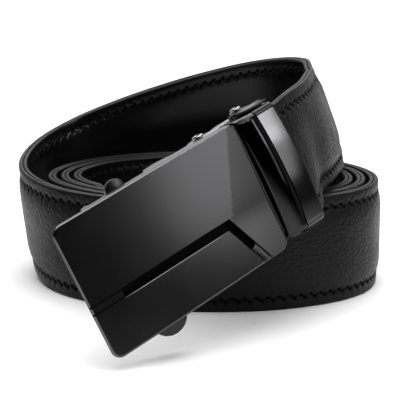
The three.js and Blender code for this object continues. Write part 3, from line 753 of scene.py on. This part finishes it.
def plate_front(p):
    """Height w of the plate's front at (u, v)."""
    p = np.asarray(p, float)
    bow = -0.5 * BOW * np.minimum(0, p[..., 0] - BOW_MIDDLE) ** 2
    bow = bow - 0.5 * DROOP * np.minimum(0, p[..., 1] - 4) ** 2
    d1 = right_of(CREASE_TOP, CREASE_FOOT, p)
    d2 = right_of(ELBOW, ARM_FOOT, p)
    soft = 0.9
    k = np.clip(0.5 + 0.5 * (d2 - d1) / 2.5, 0, 1)
    near = d2 * (1 - k) + d1 * k - 2.5 * k * (1 - k)
    fall = np.where(near > 0, near, 0) + soft * np.log1p(np.exp(-np.abs(near) / soft))
    return bow - FACET * (fall - soft * math.log(2) * np.exp(-np.abs(near)))


def plate_normal(p):
    e = 0.05
    du = (plate_front(p + np.array([e, 0])) - plate_front(p - np.array([e, 0]))) / (2 * e)
    dv = (plate_front(p + np.array([0, e])) - plate_front(p - np.array([0, e]))) / (2 * e)
    return unit(np.stack([-du, -dv, np.ones_like(du)], -1))


def strip_outline(points, width, stretch=0.0):
    """Outline of a strip of the given width along a run of (u, v) points, lengthened at both ends."""
    points = [np.asarray(p, float) for p in points]
    points[0] = points[0] - unit(points[1] - points[0]) * stretch
    points[-1] = points[-1] + unit(points[-1] - points[-2]) * stretch
    left, right = [], []
    for i, p in enumerate(points):
        into = unit(p - points[i - 1]) if i > 0 else None
        onto = unit(points[i + 1] - p) if i < len(points) - 1 else None
        if into is not None and onto is not None:
            direction = unit(into + onto)
            miter = 1 / max(0.35, float(direction @ onto))
        else:
            direction, miter = (into if onto is None else onto), 1.0
        normal = np.array([-direction[1], direction[0]]) * width / 2 * miter
        left.append(p + normal)
        right.append(p - normal)
    return np.array(left + right[::-1])


def prism(name, levels):
    """Closed solid through outlines of equal count: [(outline, w), ...]. w may be a number or a list."""
    rings = [np.column_stack([o, np.broadcast_to(w, (len(o),))]) for o, w in levels]
    verts, faces = loft(in_buckle(np.array(rings)))
    obj = mesh_object(name, verts, faces)
    face_outward(obj)
    return obj


def face_plate():
    profile = [(0.35, -PLATE_THICKNESS), (0.1, -PLATE_THICKNESS + 0.08), (0.0, -PLATE_THICKNESS + 0.3)]
    chamfer = [(0.0, -0.4), (0.03, -0.3), (0.18, -0.13), (0.26, -0.07), (0.38, -0.02), (0.55, 0.0)]
    insets = [0.9, 1.5, 2.2] + list(np.arange(3.0, 19.6, 0.9))
    rings = [np.column_stack([rounded_ring(s), np.full(len(rounded_ring(s)), w)]) for s, w in profile]
    for s, drop in chamfer + [(i, 0.0) for i in insets]:
        ring = rounded_ring(s)
        rings.append(np.column_stack([ring, plate_front(ring) + drop]))
    verts, faces = loft(in_buckle(np.array(rings)))
    plate = mesh_object("plate_face", verts, faces)
    face_outward(plate)
    slot_start = np.array([PLATE_LEFT + LEFT_FILLER, SLOT_LEVEL])
    slot_end = ARM_FOOT - ARM * RIGHT_FILLER
    path = [slot_start, ELBOW, slot_end]
    through = [(strip_outline(path, SLOT_WIDTH), -PLATE_THICKNESS - 1), (strip_outline(path, SLOT_WIDTH), -1.95)]
    for extra, depth in ((0.0, -0.22), (0.02, -0.15), (0.14, -0.02), (0.36, 0.12)):
        outline = strip_outline(path, SLOT_WIDTH + extra * 1.3, extra * 0.6)
        through.append((outline, plate_front(outline) + depth))
    outline = strip_outline(path, SLOT_WIDTH + 0.9, 0.4)
    through.append((outline, 1.2))
    combine(plate, prism("slot_cut", through), "DIFFERENCE")
    arm_normal = np.array([-ARM[1], ARM[0]])
    groove_profile = ((GROOVE_WIDTH * 0.7, -GROOVE_DEPTH), (GROOVE_WIDTH, -GROOVE_DEPTH + 0.12),
                      (GROOVE_WIDTH, -0.16), (GROOVE_WIDTH + 0.24, 0.03), (GROOVE_WIDTH + 0.3, 0.9))
    for side in (-1, 1):
        offset = side * (SLOT_WIDTH - GROOVE_WIDTH) / 2
        aside = arm_normal * offset
        left_run = [(PLATE_LEFT - 1.3, SLOT_LEVEL + offset), (slot_start[0] + 0.5, SLOT_LEVEL + offset)]
        right_run = [slot_end - ARM * 0.5 + aside, ARM_FOOT + ARM * 2 + aside]
        for run in (left_run, right_run):
            levels = []
            for width, depth in groove_profile:
                outline = strip_outline(run, width)
                levels.append((outline, plate_front(outline) + depth))
            combine(plate, prism("groove_cut", levels), "DIFFERENCE")
    finish_plate_normals(plate)
    plate.data.materials.clear()
    plate.data.materials.append(PLATE)
    plate.data.materials.append(PLATE_SIDE_SHADE)
    # the plate's sides and downward-facing faces take the darker copy of the plate metal: painted shade
    for p in plate.data.polygons:
        normal = np.array(p.normal)
        if abs(normal @ W) < 0.5 or normal @ V < -0.3:
            p.material_index = 1
    return plate


def finish_plate_normals(plate):
    """Front faces take the true normal of the bowed surface, so that reflections run cleanly over it."""
    shade(plate, 24)
    mesh = plate.data
    axes = np.stack([U, V, W])
    loops = np.array([tuple(n.vector) for n in mesh.corner_normals])
    for p in mesh.polygons:
        normal = np.array(p.normal)
        if normal @ W < 0.992:
            continue
        for li in p.loop_indices:
            co = np.array(mesh.vertices[mesh.loops[li].vertex_index].co) / MM - ORIGIN
            uv = np.array([co @ U, co @ V])
            if abs(co @ W - plate_front(uv)) < 0.02:
                loops[li] = plate_normal(uv) @ axes
    mesh.normals_split_custom_set(loops.tolist())


# Pieces that keep the shape of their solid, with their edges eased
def dressed(node, name, material_, width, segments=2, angle=28.0):
    source = frame["nodes"][node]
    bm = bmesh.new()
    bm.from_mesh(source.data)
    bmesh.ops.remove_doubles(bm, verts=bm.verts, dist=0.002 * MM)
    bmesh.ops.dissolve_limit(bm, angle_limit=deg(1.0), verts=bm.verts, edges=bm.edges)
    mesh = bpy.data.meshes.new(name)
    bm.to_mesh(mesh)
    bm.free()
    mesh.materials.clear()
    mesh.materials.append(material_)
    obj = new_object(name, mesh)
    for p in mesh.polygons:
        p.material_index = 0
    if width:
        bevel(obj, width, segments, angle)
    face_outward(obj)
    shade(obj, 32)
    return obj


def rivet(name, pin, reach, material_):
    """A pin along v with two turned heads: a raised rim round a shallow dish."""
    u, w = pin
    shaft = 1.0
    profile = [(0.0, reach + 0.42), (0.55, reach + 0.4), (0.8, reach + 0.3), (1.0, reach + 0.34),
               (1.12, reach + 0.62), (1.35, reach + 0.7), (1.6, reach + 0.62), (1.75, reach + 0.4),
               (1.75, reach + 0.12), (1.62, reach), (shaft, reach)]
    points = profile + [(r, -v) for r, v in profile[::-1]]
    sides = 40
    rings = []
    for r, v in points:
        a = np.linspace(0, 2 * math.pi, sides, endpoint=False)
        r = max(r, 0.02)
        rings.append(np.stack([u + r * np.cos(a), np.full(sides, v), w + r * np.sin(a)], -1))
    verts, faces = loft(in_buckle(np.array(rings)))
    obj = mesh_object(name, verts, faces, 40)
    face_outward(obj)
    obj.data.materials.append(material_)
    return obj


# Clamp hood
def hood_front(u):
    right = HOOD_FRONT - 0.25 * ((u - HOOD_SEAM) / (HOOD_RIGHT - HOOD_SEAM)) ** 2
    share = (HOOD_SEAM - u) / (HOOD_SEAM - HOOD_LEFT)
    outer_fall = 3.2 * np.maximum(0, share - 0.3) ** 2
    inner_fall = 4.2 * np.maximum(0, 0.34 - share) ** 2
    left = HOOD_FRONT + BAR_RISE - outer_fall - inner_fall
    return np.where(u >= HOOD_SEAM, right, left)


def hood_ring(u, front, half_v):
    """Cross-section of the hood: a crowned front, rounded shoulders and a skirt down each side."""
    points = []
    for v in np.linspace(1, -1, 41):
        x = v * half_v
        points.append((u, x, front + HOOD_CROWN * (1 - (x / HOOD_HALF) ** 2)))
    low = min(-2.9, front - 1.4)
    end = front
    for k in (0.3, 0.7, 1.0):
        points.append((u, -half_v - (HOOD_SIDE - half_v) * math.sin(k * math.pi / 2),
                       low + (end - low) * math.cos(k * math.pi / 2)))
    inner = HALF_STRAP + SIDE_GAP
    points += [(u, -HOOD_SIDE, HOOD_SKIRT), (u, -inner, HOOD_SKIRT), (u, -inner, HOOD_INNER),
               (u, inner, HOOD_INNER), (u, inner, HOOD_SKIRT), (u, HOOD_SIDE, HOOD_SKIRT)]
    for k in (1.0, 0.7, 0.3):
        points.append((u, half_v + (HOOD_SIDE - half_v) * math.sin(k * math.pi / 2),
                       low + (end - low) * math.cos(k * math.pi / 2)))
    return points


def clamp_hood():
    us = [HOOD_LEFT + 0.001, HOOD_LEFT + 0.12, HOOD_LEFT + 0.35]
    us += list(np.linspace(HOOD_LEFT + 0.7, HOOD_SEAM - 0.75, 18))
    us += [HOOD_SEAM + step for step in (-0.5, -0.4, -0.32, -0.3, 0.22, 0.24, 0.3, 0.45)]
    us += list(np.linspace(HOOD_SEAM + 0.8, HOOD_RIGHT - 0.7, 10))
    us += [HOOD_RIGHT - 0.35, HOOD_RIGHT - 0.12, HOOD_RIGHT]
    rings = []
    for u in us:
        front = float(hood_front(np.array(u)))
        if HOOD_SEAM - 0.31 < u < HOOD_SEAM + 0.23:
            front = LINE_LEVEL
        for end, sign in ((HOOD_LEFT, 1), (HOOD_RIGHT, -1)):
            inside = (u - end) * sign
            if inside < 0.35:
                front -= 0.3 * (1 - math.sqrt(max(0.0, 1 - (1 - inside / 0.35) ** 2)))
        rings.append(hood_ring(u, front, HOOD_FLAT_HALF))
    rings = np.array(rings)
    verts, faces = loft(in_buckle(rings), cap=False)
    m = rings.shape[1]
    n = rings.shape[0]
    obj = mesh_object("clamp_shell", verts, faces, 30)
    bm = bmesh.new()
    bm.from_mesh(obj.data)
    bmesh.ops.holes_fill(bm, edges=bm.edges, sides=0)
    bmesh.ops.triangulate(bm, faces=[f for f in bm.faces if len(f.verts) > 4])
    bmesh.ops.recalc_face_normals(bm, faces=bm.faces)
    bm.to_mesh(obj.data)
    bm.free()
    shade(obj, 30)
    obj.data.materials.append(HOOD_BAR)
    obj.data.materials.append(HOOD_STRIP)
    obj.data.materials.append(HOOD_END_SHADE)
    # faces across the width (the hood's ends and inner sides) take the darker copy: painted shade; the flat strip
    # right of the seam takes its own satin plating
    for p in obj.data.polygons:
        co = np.array(p.center) / MM - ORIGIN
        strip = co @ U > HOOD_SEAM + 0.1 and abs(co @ V) < HOOD_FLAT_HALF and np.array(p.normal) @ W > 0.5
        p.material_index = 1 if strip else 2 if abs(np.array(p.normal) @ V) > 0.5 else 0
    return obj


def put(obj, body, slot, *nodes):
    if nodes:
        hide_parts(*nodes)
    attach(obj, body)
    return obj


# Camera first, at the photograph's viewing angle
F_PIXELS = 1400.0
ELEVATION = 11.2
camera_data = bpy.data.cameras.new("camera")
camera_data.sensor_width = 36.0
camera_data.lens = F_PIXELS / 400 * 36.0
camera_data.clip_start = 0.01
camera_data.clip_end = 20
camera = new_object("camera", camera_data)
camera.location = Vector((SHIFT[0] * MM, (-464.0 + SHIFT[1]) * MM, 118.4 * MM))
look = Vector((0, math.cos(deg(ELEVATION)), -math.sin(deg(ELEVATION))))
camera.rotation_euler = look.to_track_quat("-Z", "Y").to_euler()
bpy.context.scene.camera = camera

# Strap
put(strap_layer("strap_outer", face_height, 1, 0.09, [LEATHER, EDGE]), "strap", "face_leather", "strap_face")
put(strap_layer("strap_inner", lining_depth, -1, 0.05, [LINING, EDGE]), "strap", "lining_leather", "strap_lining")
put(stitching("outer_stitches", face_height, 1, 0.0, THREAD), "strap", "face_leather")
put(stitching("inner_stitches", lining_depth, -1, -0.5 * STITCH_PITCH, THREAD), "strap", "lining_leather")
strip = track()
strip.data.materials.append(NYLON)
put(strip, "strap", "track_nylon", "ratchet_track")

# Buckle
put(face_plate(), "buckle", "plate_metal", "face_plate")
frame_walls = dressed("buckle_frame", "frame_walls", FRAME_METAL, 0.16)
frame_walls.data.materials.append(WEB_SHADE)
# the web's front faces between the walls take the near-black copy: painted shade in the slot
for p in frame_walls.data.polygons:
    centre = np.array(p.center) / MM - ORIGIN
    if np.array(p.normal) @ W > 0.9 and abs(centre @ V) < WALL_OUTER - 1.4:
        p.material_index = 1
put(frame_walls, "buckle", "frame_metal", "buckle_frame")
put(dressed("release_lever", "lever_body", LEVER_METAL, 0.16), "lever", "frame_metal", "release_lever")
put(rivet("lever_rivet", LEVER_PIN, WALL_OUTER + 0.3, PIN_METAL), "buckle", "pin_metal", "lever_pin")

# Clamp
put(clamp_hood(), "strap", "hood_metal", "clamp_hood")
put(dressed("clamp_jaw", "jaw_body", LEVER_METAL, 0.14), "strap", "frame_metal", "clamp_jaw")
put(rivet("clamp_rivet", CLAMP_PIN, CHEEK_OUTER + 0.3, PIN_METAL), "strap", "pin_metal", "clamp_pin")


# Studio
def floor():
    size = 3.0
    mesh = bpy.data.meshes.new("studio_floor")
    mesh.from_pydata([(-size, -size, 0), (size, -size, 0), (size, size, 0), (-size, size, 0)], [], [(0, 1, 2, 3)])
    obj = new_object("studio_floor", mesh)
    m, tree, shader = material("floor_paper", (0.93, 0.93, 0.93), 0.9, Specular_IOR_Level=0.1)
    # the pool of light under the belt widens towards the back and falls off at the sides
    place = add(tree, "ShaderNodeTexCoord")
    split = add(tree, "ShaderNodeSeparateXYZ")
    tree.links.new(place.outputs["Object"], split.inputs[0])
    aside = math_node(tree, "ABSOLUTE", split.outputs["X"], 0.0)
    ahead = spread(tree, split.outputs["Y"], -0.34, -0.13, 1.0, 0.0)
    back = math_node(tree, "MULTIPLY", math_node(tree, "MAXIMUM", split.outputs["Y"], 0.0), 0.17)
    fade = spread(tree, math_node(tree, "SUBTRACT", aside, back), 0.1, 0.34, 0.0, 1.0)
    fade = math_node(tree, "MAXIMUM", fade, ahead)
    tree.links.new(mix_colour(tree, fade, (0.93, 0.93, 0.93), (0.2, 0.2, 0.2)), shader.inputs["Base Color"])
    mesh.materials.append(m)


def area(name, place, target, size, power):
    data = bpy.data.lights.new(name, "AREA")
    data.shape = "RECTANGLE"
    data.size, data.size_y = size
    data.energy = power
    obj = new_object(name, data)
    obj.location = place
    obj.rotation_euler = (Vector(target) - Vector(place)).to_track_quat("-Z", "Y").to_euler()
    return obj


floor()
area("overhead", (0.0, -0.25, 0.9), (0.0, 0.0, 0), (1.0, 0.9), 9.8)
area("far_overhead", (0.0, 1.2, 1.1), (0, 1.1, 0), (1.3, 1.8), 24)
area("right_box", (0.73, -0.38, 0.62), (0, -0.05, 0.04), (0.2, 0.42), 1.5)
area("right_card", (0.86, -0.42, 0.36), (0, -0.06, 0.04), (0.23, 0.34), 0.42)

world = bpy.data.worlds.new("studio")
bpy.context.scene.world = world
world.use_nodes = True
tree = world.node_tree
background = tree.nodes["Background"]
where = add(tree, "ShaderNodeTexCoord")
split = add(tree, "ShaderNodeSeparateXYZ")
tree.links.new(where.outputs["Generated"], split.inputs[0])
front = spread(tree, split.outputs["Y"], -0.2, 0.6, 0.008, 0.62)
tree.links.new(front, background.inputs["Strength"])
background.inputs["Color"].default_value = (1, 1, 1, 1)

bpy.context.scene.view_settings.view_transform = "Standard"
bpy.context.scene.view_settings.look = "None"
